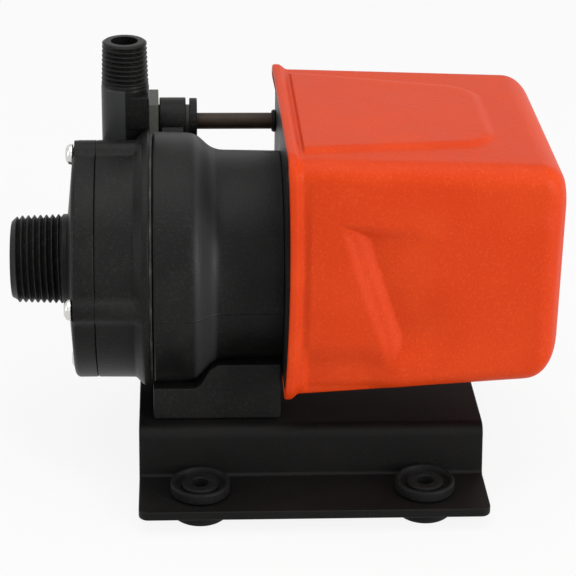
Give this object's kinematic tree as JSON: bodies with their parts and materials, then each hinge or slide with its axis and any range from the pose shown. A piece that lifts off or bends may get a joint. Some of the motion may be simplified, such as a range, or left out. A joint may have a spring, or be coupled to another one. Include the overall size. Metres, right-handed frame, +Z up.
{
  "type": "magnetic drive pump",
  "caption": "Small magnetic drive centrifugal pump: threaded inlet and outlet spigots, moulded motor cover, hat-section base plate on rubber feet.",
  "frame": {"origin": "centre of the bounding box at the underside of the rubber feet", "axes": "-X points out of the inlet along the shaft, +Z is up and points out of the outlet, +Y is the side of the cable gland"},
  "size_m": [0.1606, 0.115, 0.1264],
  "materials": {
    "black_plastic": "fine moulded grain",
    "black_paint": "satin black paint",
    "orange_plastic": "fine moulded grain",
    "pale_plastic": "natural moulding",
    "grey_plastic": "satin moulding",
    "black_rubber": "matt",
    "lead_sheath": "satin",
    "stainless_steel": "bright",
    "steel": "ground",
    "lamination_steel": "stacked sheet",
    "copper": "enamelled",
    "cast_aluminium": "die cast",
    "ferrite": "matt",
    "ceramic": "ground",
    "carbon": "satin"
  },
  "bodies": {
    "housing": {"suction_cover": "black_plastic", "housing_screw_1": "stainless_steel", "housing_screw_2": "stainless_steel", "housing_screw_3": "stainless_steel", "housing_screw_4": "stainless_steel", "cover_o_ring": "black_rubber", "volute_body": "black_plastic", "front_thrust_washer": "ceramic", "rear_thrust_washer": "ceramic", "spindle": "ceramic", "rear_housing": "pale_plastic", "rear_housing_o_ring": "black_rubber", "motor_bracket": "black_plastic", "bracket_screw_1": "steel", "bracket_screw_2": "steel", "bracket_screw_3": "steel", "bracket_screw_4": "steel", "foot_bolt_1": "stainless_steel", "foot_bolt_2": "stainless_steel", "foot_bolt_3": "stainless_steel", "foot_bolt_4": "stainless_steel", "base_plate": "black_paint", "rubber_foot_1": "black_rubber", "rubber_foot_2": "black_rubber", "rubber_foot_3": "black_rubber", "rubber_foot_4": "black_rubber", "motor_end_plate": "black_plastic", "stator_core": "lamination_steel", "coil_bobbin": "pale_plastic", "stator_winding": "copper", "near_shading_ring": "copper", "far_shading_ring": "copper", "rear_bearing_bracket": "cast_aluminium", "through_bolt_1": "steel", "through_bolt_2": "steel", "front_bearing_outer_ring": "steel", "rear_bearing_outer_ring": "steel", "motor_cover": "orange_plastic", "cover_screw_1": "stainless_steel", "cover_screw_2": "stainless_steel", "cover_screw_3": "stainless_steel", "cover_screw_4": "stainless_steel", "gland_body": "grey_plastic", "gland_locknut": "black_plastic", "gland_seal": "black_rubber", "motor_lead": "lead_sheath", "lead_bushing": "black_rubber"},
    "rotor": {"motor_shaft": "steel", "rotor_core": "lamination_steel", "drive_magnet_cup": "steel", "drive_magnet_ring": "ferrite", "hub_set_screw": "steel", "front_bearing_inner_ring": "steel", "rear_bearing_inner_ring": "steel"},
    "wet_rotor": {"impeller": "black_plastic", "inner_magnet": "ferrite", "magnet_cap": "black_plastic", "impeller_bushing": "carbon"},
    "front_cage": {"front_bearing_balls": "steel"},
    "rear_cage": {"rear_bearing_balls": "steel"}
  },
  "joints": [
    {"name": "rotor_spin", "type": "hinge", "parent": "housing", "child": "rotor", "pos_m": [0.0317, 0, 0.0626], "axis": [1, 0, 0], "continuous": true},
    {"name": "impeller_spin", "type": "hinge", "parent": "housing", "child": "wet_rotor", "pos_m": [-0.0453, 0, 0.0626], "axis": [1, 0, 0], "continuous": true},
    {"name": "front_cage_roll", "type": "hinge", "parent": "housing", "child": "front_cage", "pos_m": [0.0062, 0, 0.0626], "axis": [1, 0, 0], "continuous": true},
    {"name": "rear_cage_roll", "type": "hinge", "parent": "housing", "child": "rear_cage", "pos_m": [0.0618, 0, 0.0626], "axis": [1, 0, 0], "continuous": true}
  ],
  "couplings": [
    {"joint": "impeller_spin", "follows": "rotor_spin", "ratio": 1},
    {"joint": "front_cage_roll", "follows": "rotor_spin", "ratio": 0.368},
    {"joint": "rear_cage_roll", "follows": "rotor_spin", "ratio": 0.368}
  ]
}
